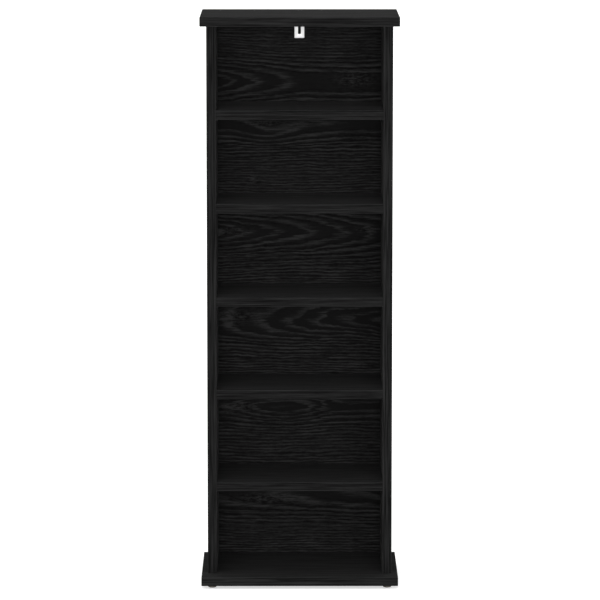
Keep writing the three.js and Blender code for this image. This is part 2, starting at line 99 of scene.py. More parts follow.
# %% A helper for node trees
class Wiring:
    """Adds nodes to a tree, and returns the output that each of them gives."""

    def __init__(self, tree):
        self.tree = tree

    def node(self, kind, **settings):
        made = self.tree.nodes.new(kind)
        for name, value in settings.items():
            setattr(made, name, value)
        return made

    def feed(self, socket, value):
        if isinstance(value, bpy.types.NodeSocket):
            self.tree.links.new(value, socket)
        else:
            socket.default_value = value

    def fill(self, node, **values):
        """Feeds a node's inputs, with underscores in place of the spaces in their names."""
        for name, value in values.items():
            self.feed(node.inputs[name.replace("_", " ")], value)

    def maths(self, operation, *values, clamp=False):
        made = self.node("ShaderNodeMath", operation=operation, use_clamp=clamp)
        for socket, value in zip(made.inputs, values):
            self.feed(socket, value)
        return made.outputs[0]

    def plus(self, first, second):
        return self.maths("ADD", first, second)

    def minus(self, first, second):
        return self.maths("SUBTRACT", first, second)

    def over(self, first, second):
        return self.maths("DIVIDE", first, second)

    def times(self, product, *factors):
        for factor in factors:
            product = self.maths("MULTIPLY", product, factor)
        return product

    def square(self, value):
        return self.times(value, value)

    def fading(self, value):
        """exp(-value): a bell curve, if value is the square of a distance."""
        return self.maths("EXPONENT", self.times(value, -1.0))

    def split(self, vector):
        made = self.node("ShaderNodeSeparateXYZ")
        self.feed(made.inputs[0], vector)
        return made.outputs[:]

    def join(self, x, y, z=0.0):
        made = self.node("ShaderNodeCombineXYZ")
        for socket, value in zip(made.inputs, (x, y, z)):
            self.feed(socket, value)
        return made.outputs[0]

    def mapping(self, vector, place=(0, 0, 0), scale=(1, 1, 1)):
        made = self.node("ShaderNodeMapping")
        self.fill(made, Vector=vector, Location=place, Scale=scale)
        return made.outputs[0]

    def noise(self, vector, scale=(1, 1, 1), detail=2.0, roughness=0.5):
        """Noise from 0 to 1, on average 0.5. scale says how many swells there are to a metre."""
        made = self.node("ShaderNodeTexNoise", noise_dimensions="3D")
        scaled = self.mapping(vector, scale=scale)
        self.fill(made, Vector=scaled, Scale=1.0, Detail=detail, Roughness=roughness)
        return made.outputs["Fac"]

    def span(self, value, low, high, to_low=0.0, to_high=1.0, smooth=False):
        """Carries a value from one span to another and keeps it inside."""
        made = self.node("ShaderNodeMapRange", interpolation_type="SMOOTHSTEP" if smooth else "LINEAR")
        self.fill(made, Value=value, From_Min=low, From_Max=high, To_Min=to_low, To_Max=to_high)
        return made.outputs["Result"]

    def mix(self, data_type, ending, share, low, high):
        """low where share is 0 and high where it is 1. The sockets' names end with their kind."""
        made = self.node("ShaderNodeMix", data_type=data_type)
        inputs = {socket.identifier: socket for socket in made.inputs}
        for name, value in (("Factor_Float", share), ("A_" + ending, low), ("B_" + ending, high)):
            self.feed(inputs[name], value)
        return next(s for s in made.outputs if s.identifier == "Result_" + ending)

    def blend(self, share, low, high):
        return self.mix("RGBA", "Color", share, low, high)

    def choose(self, share, low, high):
        return self.mix("FLOAT", "Float", share, low, high)

    def use(self, group, **values):
        """A copy of a group, with its inputs filled."""
        made = self.node("ShaderNodeGroup", node_tree=group)
        self.fill(made, **values)
        return made.outputs


print("the helper can:", [name for name in vars(Wiring) if name[0] != "_"])


# %% Groups and finishes
def new_group(name, outputs, **inputs):
    """A node group. inputs gives each input's default, or None for a vector, under a name as in fill."""
    tree = bpy.data.node_groups.new(name, "ShaderNodeTree")
    for label, default in inputs.items():
        kind = "NodeSocketVector" if default is None else "NodeSocketFloat"
        socket = tree.interface.new_socket(label.replace("_", " "), in_out="INPUT", socket_type=kind)
        if default is not None:
            socket.default_value = default
    for label in outputs:
        tree.interface.new_socket(label, in_out="OUTPUT", socket_type="NodeSocketFloat")
    w = Wiring(tree)
    given = w.node("NodeGroupInput").outputs
    result = w.node("NodeGroupOutput")
    return tree, w, given, result


def new_finish(name, **values):
    """A material with one Principled shader, filled with values, and the wiring to dress it."""
    material = bpy.data.materials.new(name)
    material.use_nodes = True
    tree = material.node_tree
    shader = next(n for n in tree.nodes if n.type == "BSDF_PRINCIPLED")
    w = Wiring(tree)
    w.fill(shader, **values)
    coordinates = w.node("ShaderNodeTexCoord").outputs
    return material, w, coordinates, shader


def add_bump(w, shader, height, distance):
    """Raises the surface by height times distance, in the shading alone."""
    bump = w.node("ShaderNodeBump")
    w.fill(bump, Height=height, Distance=distance)
    w.fill(shader, Normal=bump.outputs["Normal"])


def dress(node, material):
    """Gives every material slot of a frame node the finish."""
    slots = nodes[node].material_slots
    for slot in slots:
        slot.material = material
    if not slots:
        raise RuntimeError(node + " has no material slot")


print("material slots to dress:", sum(len(node.material_slots) for node in nodes.values()))

# %% [markdown]
# ## Light and floor
#
# A black object is lit by large lamps close to the camera's side, because whatever stands further round
# would leave its deep bays without light. So the main lamp shines in flat from the front and reaches the
# back of every bay, and the bracket under the top. A weaker one stands to each side of it, so that each
# bay is a little darker towards its sides. Another stands higher and lights the shelves, and one hangs
# overhead. Two more stand behind, one to each side, and share the sides and the rear between them
# without touching the front. Each is a sun, which lights every place alike, with a disc wide enough for
# soft shadows, and the floor stays one tone however far it runs. What the camera sees as background is
# plain white, but the light on the tower is kept lower, at a level where a colour shows as written.

# %% Light the scene
SKY_LIGHT = 0.20
# name, strength, height above the horizon and turn from the camera's side in degrees, spread in degrees
SUNS = [
    ("front_sun", 1.42, 2, 0, 9),
    ("front_left_sun", 0.28, 2, -14, 12),
    ("front_right_sun", 0.75, 2, 16, 20),
    ("high_sun", 0.66, 30, -8, 40),
    ("top_sun", 1.62, 76, -20, 60),
    ("rear_left_sun", 2.00, 12, -140, 40),
    ("rear_right_sun", 2.00, 12, 140, 40),
]
WHITE = (1, 1, 1, 1)
FLOOR_TONE = (0.7, 0.7, 0.7, 1)
FLOOR_ROUGHNESS = 0.9
FLOOR_LIFT = 0.6  # seen by the camera alone, so that only the contact shadow stays
FLOOR_REACH = 40.0  # from the tower to each edge

scene = bpy.context.scene
scene.view_settings.view_transform = "Standard"


def build_world():
    world = bpy.data.worlds.new("studio")
    world.use_nodes = True
    scene.world = world
    w = Wiring(world.node_tree)
    world.node_tree.nodes.clear()
    path = w.node("ShaderNodeLightPath").outputs
    seen = w.maths("MAXIMUM", path["Is Camera Ray"], path["Is Glossy Ray"])
    seen = w.maths("MAXIMUM", seen, path["Is Transmission Ray"])
    background = w.node("ShaderNodeBackground")
    w.fill(background, Color=WHITE, Strength=w.choose(seen, SKY_LIGHT, 1.0))
    w.fill(w.node("ShaderNodeOutputWorld"), Surface=background.outputs[0])


def build_sun(name, strength, height, turn, spread):
    data = bpy.data.lights.new(name, "SUN")
    data.energy = strength
    data.angle = math.radians(spread)
    sun = bpy.data.objects.new(name, data)
    sun.rotation_euler = (math.radians(90 - height), 0, math.radians(turn))
    scene.collection.objects.link(sun)


def build_floor():
    corners = np.array([(-1, -1, 0), (1, -1, 0), (1, 1, 0), (-1, 1, 0)]) * FLOOR_REACH
    mesh = bpy.data.meshes.new("floor")
    mesh.from_pydata(corners.tolist(), [], [(0, 1, 2, 3)])
    floor = bpy.data.objects.new("floor", mesh)
    scene.collection.objects.link(floor)
    material, w, _, shader = new_finish("pale_floor", Roughness=FLOOR_ROUGHNESS, Specular_IOR_Level=0.0)
    path = w.node("ShaderNodeLightPath").outputs
    lift = w.times(path["Is Camera Ray"], FLOOR_LIFT)
    w.fill(shader, Base_Color=FLOOR_TONE, Emission_Color=WHITE, Emission_Strength=lift)
    mesh.materials.append(material)


build_world()
for sun in SUNS:
    build_sun(*sun)
build_floor()
print("light from the sky:", SKY_LIGHT, "| suns:", [sun[0] for sun in SUNS])

# %% [markdown]
# ## The oak print
#
# Growth rings show on a board as lines. A log is a slender cone of rings, and the saw passes its heart
# at some depth below the surface. So the distance from the heart is the long side of a triangle whose
# other sides are that depth and the way across the board, and the taper of the log shifts it along the
# board. The lines of equal distance are hyperbolas: wide pointed arches over the heart, and close
# straight lines away from it. Where the heart bows up towards the surface, the arches close into an eye.
# Noise bends the lines, so that no two boards look alike.
#
# Oak also has pores, short strokes that all run along the board, and this print shows them light on a
# dark ground. They crowd where each ring begins, in a line that fades to one side. Away from the heart
# the lines take up most of a ring and leave a thin dark gap, while over the heart they are narrow, and
# the wood between them stays dark and smooth.

# %% Growth rings
NARROWING = 0.5  # by this share more rings lie in the same way, far from the heart
NARROWING_REACH = 0.015  # how far from the heart three quarters of that is reached
LEVELLING = 0.03  # over how much of the way the taper and the bow end
FLAT_REACH = 0.028  # how far to the sides of the heart the wood between two lines is smooth
TIP_ROUNDING = 0.0015  # at the very tip of an arch
SLOW_BENDS = dict(scale=(7, 18, 1), detail=1.0)
SLOW_BEND_SHARE = 3.0  # of the wander, for each step of the noise
QUICK_BENDS = dict(scale=(40, 110, 1), detail=2.0, roughness=0.6)
QUICK_BEND_SHARE = 1.4
FRAYED_TIPS = dict(scale=(30, 320, 1), detail=2.0)
FRAY_LENGTH = 0.04  # how far one fibre carries a line past the next, for each step of the noise
UNEVEN_RINGS = dict(scale=(60, 1, 1), detail=1.0)
UNEVEN_SHARE = 1.2  # of a ring, for each step of the noise
NOISE_MIDDLE = 0.5


def build_rings():
    """Phase = (away + NARROWING away^2 / (away + NARROWING_REACH) + lean) / Ring Width + uneven + Start,
    where away = sqrt(Depth^2 + side^2) - sqrt(Depth^2 + Point^2), side is the way from the heart, bent by
    noise, plus Point, lean = (Taper way + Bow way^2) / (1 + (side / Arch Reach)^2), way is along - End,
    frayed by noise, but to either side no more than Way Limit, and uneven is noise of its own.
    Flat = exp(-(side / FLAT_REACH)^2)."""
    tree, w, given, result = new_group(
        "growth_rings", ["Phase", "Flat"],
        Vector=None, Heart=0.0, Depth=0.03, Point=0.004, End=0.0, Taper=0.15, Way_Limit=1.0,
        Arch_Reach=0.04, Bow=0.0, Ring_Width=0.0062, Wander=0.004, Start=0.0,
    )

    def swing(vector, share, **noise):
        """Noise about 0, times a share."""
        return w.times(w.minus(w.noise(vector, **noise), NOISE_MIDDLE), share)

    along, across, _ = w.split(given["Vector"])
    slow = swing(given["Vector"], SLOW_BEND_SHARE, **SLOW_BENDS)
    quick = swing(given["Vector"], QUICK_BEND_SHARE, **QUICK_BENDS)
    bent = w.times(w.plus(slow, quick), given["Wander"])
    aside = w.plus(w.minus(across, given["Heart"]), bent)
    aside = w.maths("SQRT", w.plus(w.square(aside), TIP_ROUNDING * TIP_ROUNDING))
    side = w.plus(aside, given["Point"])
    outer = w.maths("SQRT", w.plus(w.square(given["Depth"]), w.square(side)))
    inner = w.maths("SQRT", w.plus(w.square(given["Depth"]), w.square(given["Point"])))
    away = w.minus(outer, inner)
    narrow = w.times(w.over(w.square(away), w.plus(away, NARROWING_REACH)), NARROWING)
    frayed = w.plus(along, swing(given["Vector"], FRAY_LENGTH, **FRAYED_TIPS))
    way = w.minus(frayed, given["End"])
    way = w.maths("SMOOTH_MIN", way, given["Way Limit"], LEVELLING)
    way = w.maths("SMOOTH_MAX", way, w.times(given["Way Limit"], -1.0), LEVELLING)
    lean = w.plus(w.times(way, given["Taper"]), w.times(given["Bow"], w.square(way)))
    lean = w.over(lean, w.plus(1.0, w.square(w.over(side, given["Arch Reach"]))))
    total = w.plus(w.plus(away, narrow), lean)
    uneven = swing(w.join(total, 0.0, given["Heart"]), UNEVEN_SHARE, **UNEVEN_RINGS)
    rings = w.over(total, given["Ring Width"])
    w.fill(result, Phase=w.plus(w.plus(rings, uneven), given["Start"]))
    w.fill(result, Flat=w.fading(w.square(w.over(side, FLAT_REACH))))
    return tree


growth_rings = build_rings()
print("nodes in the group of the rings:", len(growth_rings.nodes))

# %% Lines and strokes
PLAIN_LINE_TOP = 0.40  # of a ring, where its line is brightest, away from the heart
PLAIN_LINE_END = 0.96  # and where it has faded there
LINE_TOP_SHARE = 0.3  # the same over the heart, of Line End
MEAN_LINE = 0.30  # what a line gives on average, and what is left of it at a quiet place
DARK_START = 0.80  # of a ring, where the dark wood that grew last begins
RING_CHANGE = dict(scale=(0.73, 1, 1), detail=1.0)  # read once for each ring
RING_SPAN = (0.35, 0.65, 0.75, 1.15)  # from these values of the noise to these strengths of a line
PATCHES = dict(scale=(14, 34, 1), detail=2.0)  # where several lines are weaker together
PATCH_SPAN = (0.35, 0.65, 0.65, 1.15)
STROKES = dict(scale=(28, 430, 1), detail=3.0, roughness=0.65)
STROKE_SPAN = (0.36, 0.64, 0.0, 1.0)
STROKES_IN_LINE = (0.4, 1.3)  # a line's strength where a stroke is missing, and in a stroke
STROKES_IN_GROUND = (0.0, 2.0)  # the same for the light of the ground between the lines
DASHES = dict(scale=(110, 340, 1), detail=3.0, roughness=0.7)  # shorter than strokes, light and dark
PLAIN_DASHES = 0.4  # strength of the dashes where the wood isn't smooth
CROWD_DASHES = 2.0  # and in a crowd of pores
CROWD_LIGHT = 0.24  # how much lighter the ground is in a crowd
PLAIN_PORES = 0.4  # depth of the pores between the lines, where 1 more is added in the middle of a line


def build_print():
    """Light of the print from 0 to 1: a dark ground, a line at the start of each ring whose strength
    differs from ring to ring, a dark end of each ring, and strokes. Where Flat is 1 the lines are
    narrower and the wood between them has the light Smooth, without strokes but for the crowds of pores
    that Busy brings. Quiet blends the lines into one even tone."""
    tree, w, given, result = new_group(
        "oak_print", ["Light", "Pores"],
        Vector=None, Phase=0.0, Flat=0.0, Busy=0.0, Quiet=0.0, Line_End=0.46,
        Ground=0.15, Smooth=0.17, Line=0.67, Dark=0.22, Stroke=2.0,
    )
    turn = w.maths("FRACT", given["Phase"])
    top = w.choose(given["Flat"], PLAIN_LINE_TOP, w.times(given["Line End"], LINE_TOP_SHARE))
    end = w.choose(given["Flat"], PLAIN_LINE_END, given["Line End"])
    rise = w.span(turn, 0.0, top, smooth=True)
    fall = w.span(turn, top, end, 1.0, 0.0, smooth=True)
    spring = w.times(rise, fall)
    late = w.span(turn, DARK_START, 1.0, smooth=True)
    ring = w.join(w.maths("FLOOR", given["Phase"]), 0.0)
    strength = w.span(w.noise(ring, **RING_CHANGE), *RING_SPAN)
    patch = w.span(w.noise(given["Vector"], **PATCHES), *PATCH_SPAN)
    strokes = w.span(w.noise(given["Vector"], **STROKES), *STROKE_SPAN)
    dashes = w.minus(w.noise(given["Vector"], **DASHES), NOISE_MIDDLE)
    line = w.times(spring, w.choose(strokes, *STROKES_IN_LINE), strength, patch)
    line = w.choose(given["Quiet"], line, MEAN_LINE)
    smooth = w.times(given["Flat"], w.minus(1.0, spring))
    uneven = w.minus(1.0, smooth)
    ground = w.times(given["Ground"], w.choose(strokes, *STROKES_IN_GROUND))
    ground = w.choose(smooth, ground, given["Smooth"])
    ground = w.plus(ground, w.times(given["Busy"], CROWD_LIGHT))
    darker = w.times(late, uneven, given["Dark"])
    rough = w.plus(w.times(uneven, PLAIN_DASHES), w.times(given["Busy"], CROWD_DASHES))
    speckle = w.times(dashes, rough, given["Stroke"])
    light = w.plus(w.minus(ground, darker), w.times(line, given["Line"]))
    w.fill(result, Light=w.maths("ADD", light, speckle, clamp=True))
    w.fill(result, Pores=w.times(strokes, w.plus(PLAIN_PORES, spring)))
    return tree


oak_print = build_print()
print("nodes in the group of the print:", len(oak_print.nodes))

# %% [markdown]
# ## Foil on the boards
#
# The foil is wrapped round the front edge of a board without a cut, so the print has to run over the
# edge as well. Measuring across the board as the sum of its depth and its height does that: on the flat
# faces one of the two stands still, and round the edge the one takes over from the other. On a side
# panel the grain stands upright, and on the ends of the top and of the base a separate strip of foil has
# its grain along the strip. Each board reads the print at another place, so each has its own figure. The
# print of the boards is drawn out along the grain, so that its lines run straighter than on the back.
#
# Where the foil bends round an edge, its print is painted lighter: a painted highlight of the rounded edge.
# On a flat face one part of the normal is 1, and on a bend all of them are less, which is all that a mask
# for that edge needs.

# %% Foil
FOIL_DARK = (0.0041, 0.0041, 0.0041, 1)
FOIL_LIGHT = (0.0260, 0.0260, 0.0260, 1)
FOIL_ROUGHNESS = (0.62, 0.74)  # between the pores, and in them
FOIL_SHEEN = dict(Sheen_Weight=0.024, Sheen_Roughness=0.5)
PORE_DEPTH = 0.00006
PAINTED_EDGE_HIGHLIGHT = 0.60  # painted highlight: how much lighter the print is in the middle of a bend
MIDDLE_OF_BEND = math.sqrt(0.5)  # the largest part of a normal there


def build_painted_edge_highlight():
    """The mask of the painted edge highlight. Value = (1 - the largest part of the normal) / (1 -
    MIDDLE_OF_BEND), from 0 to 1.
    """
    tree, w, given, result = new_group("painted_edge_highlight", ["Value"], Normal=None)
    parts = [w.maths("ABSOLUTE", part) for part in w.split(given["Normal"])]
    largest = w.maths("MAXIMUM", w.maths("MAXIMUM", parts[0], parts[1]), parts[2])
    w.fill(result, Value=w.span(largest, 1.0, MIDDLE_OF_BEND))
    return tree


painted_edge_highlight = build_painted_edge_highlight()


def new_foil(name):
    """A foil without gloss, but with a faint veil of light at flat angles."""
    return new_finish(name, Roughness=FOIL_ROUGHNESS[0], Specular_IOR_Level=0.0, **FOIL_SHEEN)


print("foil from", FOIL_DARK[0], "to", FOIL_LIGHT[0], "| groups:", [g.name for g in bpy.data.node_groups])

# %% Dress the boards
FACING_LIMIT = 0.7  # of a normal, past which a face counts as an end
PRINT_STEP = 3.7  # how far apart two boards read the print
BOARD_TONES = dict(Line=0.20, Dark=0.04, Stroke=0.55)  # fainter than on the back
BOARD_SMOOTH = 0.6  # of the tone, over the heart
BOARD_WANDER = 0.002
BOARD_STRETCH = 0.4  # of a way along a board, as its print reads it
SHELF_COUNT = 5
MIDDLE_SHELF = 3
PRINTS_BEFORE_SHELVES = 4  # those of the top, the base and the two sides
SHELF_TONE = 0.23
SHELF_TAPER = 0.08
SHELF_HEART_STEP = 0.02  # from one shelf to the next the heart lies further back by this
SHELF_END_STEP = 0.08  # and the tip of its arches further along by this


def board_vector(w, coordinates, upright, ends):
    """Along and across the board, in metres, with the print carried over the edges."""
    x, y, z = w.split(coordinates["Object"])
    if upright:
        return w.join(z, w.plus(x, y))
    along, across = x, w.plus(y, z)
    if ends:
        facing, _, _ = w.split(coordinates["Normal"])
        on_end = w.maths("GREATER_THAN", w.maths("ABSOLUTE", facing), FACING_LIMIT)
        along = w.choose(on_end, along, y)
        across = w.choose(on_end, across, w.plus(x, z))
    return w.join(along, across)


def board_foil(name, number, tone, upright=False, ends=False, **rings):
    """One board's foil. number moves the print, so that each board has a figure of its own, and tone is
    how light the wood between its lines is."""
    material, w, coordinates, shader = new_foil("foil_" + name)
    vector = board_vector(w, coordinates, upright, ends)
    moved = w.mapping(vector, place=(0.0, 0.0, PRINT_STEP * number), scale=(BOARD_STRETCH, 1, 1))
    phase, flat = w.use(growth_rings, Vector=moved, Wander=BOARD_WANDER, **rings)
    tones = dict(BOARD_TONES, Ground=tone, Smooth=tone * BOARD_SMOOTH)
    light, pores = w.use(oak_print, Vector=moved, Phase=phase, Flat=flat, **tones)
    # a painted highlight: the print is lighter on the rounded edges
    highlit_edge = w.use(painted_edge_highlight, Normal=coordinates["Normal"])["Value"]
    light = w.plus(light, w.times(highlit_edge, PAINTED_EDGE_HIGHLIGHT))
    w.fill(shader, Base_Color=w.blend(light, FOIL_DARK, FOIL_LIGHT))
    w.fill(shader, Roughness=w.span(pores, 0.0, 1.0, *FOIL_ROUGHNESS))
    add_bump(w, shader, w.minus(1.0, pores), PORE_DEPTH)
    return material


def dress_board(name, number, tone, **figure):
    dress(name, board_foil(name, number, tone, **figure))


dress_board("top_board", 1, 0.23, ends=True, Heart=1.02, End=-0.35, Taper=0.05)
dress_board("base_board", 2, 0.27, ends=True, Heart=-0.02, End=-0.10, Taper=0.10)
dress_board("side_panel_left", 3, 0.24, upright=True, Heart=-0.135, End=0.10, Taper=0.06)
dress_board("side_panel_right", 4, 0.27, upright=True, Heart=0.165, End=0.95, Taper=0.05)
for number in range(1, SHELF_COUNT + 1):
    name = f"shelf_{number}"
    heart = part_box(name)[1].z + SHELF_HEART_STEP * number
    end = SHELF_END_STEP * (number - MIDDLE_SHELF)
    figure = dict(Heart=heart, End=end, Taper=SHELF_TAPER)
    dress_board(name, PRINTS_BEFORE_SHELVES + number, SHELF_TONE, **figure)
print("boards dressed:", sum(m.name.startswith("foil_") for m in bpy.data.materials))

# %% [markdown]
# ## The back
#
# The back is one thin hardboard, and its print is the best seen part of the whole tower. In each bay it
# shows another figure: arches that point one way or the other, an eye, a valley under a knot. So each bay
# gets rings of its own, placed from the bay's floor, and the shelves hide where one print gives way to
# the next. A knot is a place where the lines are pushed aside, a crowd is a place where pores fill the
# wood with light specks, and at a quiet place the lines are faint. All three fade like a bell curve, so
# one small group serves them. Behind, the hardboard is bare: brown pressed fibre.

# %% Figures of the bays
shelf_low, shelf_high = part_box("shelf_1")
shelf_thickness = shelf_high.z - shelf_low.z
bay_floors = [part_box(f"shelf_{n}")[1].z for n in range(1, SHELF_COUNT + 1)] + [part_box("base_board")[1].z]
# What the rings of each bay need, from the top bay down. A heart is measured from the bay's floor.
BAY_RINGS = [
    dict(
        Heart=0.032, Depth=0.030, Point=0.006, End=-0.126, Taper=0.155, Way_Limit=0.125,
        Ring_Width=0.0066, Start=0.8,
    ),
    dict(Heart=0.115, Depth=0.030, Point=0.004, End=-0.046, Taper=0.020, Ring_Width=0.0066, Start=0.0),
    dict(Heart=0.087, Depth=0.028, Point=0.006, End=-0.051, Taper=0.140, Ring_Width=0.0070, Start=0.8),
    dict(
        Heart=0.078, Depth=0.016, Point=0.004, End=-0.023, Taper=-0.140, Arch_Reach=0.02,
        Ring_Width=0.0066, Start=0.3,
    ),
    dict(
        Heart=0.098, Depth=0.013, Point=0.005, End=-0.026, Taper=0.020, Bow=2.60, Way_Limit=0.077,
        Ring_Width=0.0076, Start=0.44,
    ),
    dict(Heart=0.104, Depth=0.060, Point=0.004, End=0.030, Taper=-0.050, Ring_Width=0.0060, Start=0.8),
]
BAY_LINE_ENDS = [0.46, 0.46, 0.46, 0.62, 0.62, 0.60]
# Bells, under the number of their bay, counted from 0 at the top: place along, place above the bay's
# floor, length, width, and height, which is a push in metres, a share of pores or a share of quiet.
BAY_KNOTS = {
    1: [(-0.050, 0.105, 0.044, 0.024, 0.018)],
    3: [(0.000, 0.135, 0.300, 0.045, -0.034)],
}
BAY_CROWDS = {
    0: [(0.092, 0.036, 0.030, 0.012, 0.9)],
    1: [(-0.055, 0.116, 0.030, 0.005, 0.7), (-0.078, 0.020, 0.010, 0.008, 0.6)],
    2: [(-0.120, 0.087, 0.030, 0.007, 0.9), (0.110, 0.090, 0.018, 0.006, 0.8)],
    3: [(-0.110, 0.095, 0.035, 0.012, 0.9)],
    4: [(-0.105, 0.095, 0.030, 0.009, 0.9), (0.055, 0.112, 0.010, 0.006, 0.7)],
    5: [(-0.060, 0.092, 0.050, 0.008, 0.9)],
}
BAY_QUIETS = {
    0: [(0.000, 0.105, 0.300, 0.030, 0.55)],
    1: [(0.000, 0.030, 0.300, 0.022, 0.45)],
    4: [(0.040, 0.032, 0.200, 0.020, 0.50)],
    5: [(-0.020, 0.042, 0.200, 0.020, 0.65)],
}
print("floors of the bays in mm:", in_mm(*bay_floors))


# %% Bells and figures
def build_bell():
    """Value = Height exp(-(along^2 / Length^2 + across^2 / Width^2)), measured from Along and Across."""
    tree, w, given, result = new_group(
        "bell", ["Value"], Vector=None, Along=0.0, Across=0.0, Length=0.03, Width=0.01, Height=0.01
    )
    along, across, _ = w.split(given["Vector"])
    share_along = w.over(w.minus(along, given["Along"]), given["Length"])
    share_across = w.over(w.minus(across, given["Across"]), given["Width"])
    fading = w.fading(w.plus(w.square(share_along), w.square(share_across)))
    w.fill(result, Value=w.times(fading, given["Height"]))
    return tree


bell = build_bell()
BAY_STEP = 0.83  # how far apart two bays read the noise


def add_bells(w, vector, floor, bells, value):
    """Adds bell curves, each placed from the bay's floor, to a value."""
    for along, above, length, width, height in bells:
        own = dict(Along=along, Across=floor + above, Length=length, Width=width, Height=height)
        value = w.plus(value, w.use(bell, Vector=vector, **own)["Value"])
    return value


def bay_figure(w, vector, bay):
    """Phase, Flat, Busy, Quiet and Line End of one bay."""
    floor = bay_floors[bay]
    along, height, _ = w.split(vector)
    across = add_bells(w, vector, floor, BAY_KNOTS.get(bay, []), height)
    busy = add_bells(w, vector, floor, BAY_CROWDS.get(bay, []), 0.0)
    quiet = add_bells(w, vector, floor, BAY_QUIETS.get(bay, []), 0.0)
    log = dict(BAY_RINGS[bay], Heart=floor + BAY_RINGS[bay]["Heart"])
    moved = w.join(along, across, BAY_STEP * bay)
    phase, flat = w.use(growth_rings, Vector=moved, **log)
    return phase, flat, busy, quiet, BAY_LINE_ENDS[bay]


def back_figure(w, vector):
    """The figure of the bay that the point lies in. Bays meet at half the height of a shelf."""
    _, height, _ = w.split(vector)
    values = bay_figure(w, vector, 0)
    for bay in range(1, len(bay_floors)):
        seam = bay_floors[bay - 1] - shelf_thickness / 2
        above = w.maths("GREATER_THAN", height, seam)
        own = bay_figure(w, vector, bay)
        values = [w.choose(above, low, high) for low, high in zip(own, values)]
    return values


print("bells:", sum(len(b) for kind in (BAY_KNOTS, BAY_CROWDS, BAY_QUIETS) for b in kind.values()))

# %% Dress the back
BARE_BROWN = (0.155, 0.088, 0.045, 1)
BARE_PALE = (0.250, 0.155, 0.085, 1)
BARE_FIBRES = dict(scale=(160, 160, 1), detail=5.0, roughness=0.7)
BARE_CLOUDS = dict(scale=(12, 12, 1), detail=2.0)
CLOUD_SHARE = 0.5  # of the clouds, against the fibres
BARE_SPAN = (0.55, 1.0)  # of both together, from brown to pale
PRINTED_LIMIT = -0.5  # of a normal along +Y, under which a face is the printed front


def dress_back():
    """Print in front, and bare fibre on the edges and behind."""
    material, w, coordinates, shader = new_foil("foil_back")
    x, _, z = w.split(coordinates["Object"])
    vector = w.join(x, z)
    phase, flat, busy, quiet, line_end = back_figure(w, vector)
    figure = dict(Phase=phase, Flat=flat, Busy=busy, Quiet=quiet, Line_End=line_end)
    light, pores = w.use(oak_print, Vector=vector, **figure)
    printed = w.blend(light, FOIL_DARK, FOIL_LIGHT)
    fibres = w.noise(vector, **BARE_FIBRES)
    clouds = w.noise(vector, **BARE_CLOUDS)
    bare_light = w.span(w.plus(fibres, w.times(clouds, CLOUD_SHARE)), *BARE_SPAN)
    bare = w.blend(bare_light, BARE_BROWN, BARE_PALE)
    _, facing, _ = w.split(coordinates["Normal"])
    behind = w.maths("GREATER_THAN", facing, PRINTED_LIMIT)
    w.fill(shader, Base_Color=w.blend(behind, printed, bare))
    height = w.choose(behind, w.minus(1.0, pores), fibres)
    add_bump(w, shader, height, PORE_DEPTH)
    dress("back_panel", material)
    return material


print("nodes in the finish of the back:", len(dress_back().node_tree.nodes))

# %% [markdown]
# ## Metal, wood, paint and plastic
#
# The small fittings are seen from below and from behind, and each is told from its neighbour by its
# finish: cast zinc is dull and a little mottled, plated steel is brighter and smoother, the dowels are
# bare beech and the glides are a taupe plastic. The bracket is painted white, and a clear gloss over the
# paint takes up the light of the low lamps, without which it would look grey under the top.

# %% Finishes of the fittings
# the darker tone and the lighter one
ZINC = ((0.30, 0.31, 0.32, 1), (0.42, 0.43, 0.44, 1))
STEEL = ((0.44, 0.44, 0.45, 1), (0.56, 0.56, 0.57, 1))
BEECH = ((0.46, 0.28, 0.14, 1), (0.64, 0.44, 0.25, 1))
PAINT = ((0.93, 0.93, 0.93, 1), (0.95, 0.95, 0.95, 1))
TAUPE = ((0.085, 0.077, 0.064, 1), (0.125, 0.113, 0.096, 1))
MOTTLE = dict(detail=3.0, roughness=0.6)
MOTTLE_SPAN = (0.3, 0.7)  # of the noise, from the darker tone to the lighter one
DULL = dict(Specular_IOR_Level=0.3)
GLOSS = dict(Coat_Weight=1.0, Coat_Roughness=0.25)


def mottled_finish(name, tones, scale, roughness, bump, **values):
    """A finish whose tone, roughness and surface follow one noise."""
    material, w, coordinates, shader = new_finish(name, **values)
    mottle = w.noise(coordinates["Object"], scale, **MOTTLE)
    share = w.span(mottle, *MOTTLE_SPAN)
    w.fill(shader, Base_Color=w.blend(share, *tones))
    w.fill(shader, Roughness=w.span(mottle, *MOTTLE_SPAN, *roughness))
    add_bump(w, shader, mottle, bump)
    return material


cast_zinc = mottled_finish("cast_zinc", ZINC, (900, 900, 900), (0.5, 0.38), 0.00004, Metallic=0.9)
plated_steel = mottled_finish("plated_steel", STEEL, (700, 700, 700), (0.42, 0.28), 0.00001, Metallic=1.0)
beech = mottled_finish("bare_beech", BEECH, (90, 1200, 1200), (0.8, 0.7), 0.00005, **DULL)
white_paint = mottled_finish("white_coat", PAINT, (420, 420, 420), (0.5, 0.4), 0.00002, **GLOSS)
taupe_plastic = mottled_finish("taupe_plastic", TAUPE, (650, 650, 650), (0.6, 0.5), 0.00004, **DULL)

for name in nodes:
    if "_cam_bolt_" in name or "nail" in name or "screw" in name:
        dress(name, plated_steel)
    elif "_cam_" in name:
        dress(name, cast_zinc)
    elif "_dowel_" in name:
        dress(name, beech)
    elif name.startswith("glide_"):
        dress(name, taupe_plastic)
dress("wall_bracket", white_paint)
print("finishes:", len(bpy.data.materials))

# %% [markdown]
# ## Turned pieces
#
# A glide is a small moulded foot, a nail is a piece of wire with a head pressed on it, and both are
# round. Such a shape is a profile turned about its axis: every point of the profile makes a ring, and
# the rings in order are a grid with the turn as its other side. A profile that begins and ends on the
# axis gets a single point there, a pole, so that the surface is closed, and one that closes on itself
# needs none. The frame's glides have few facets, so these finer ones take their place.

# %% A surface of revolution
SHARP_ANGLE = math.radians(40)  # between two faces, past which the edge isn't shaded round
ARC_STEPS = 7


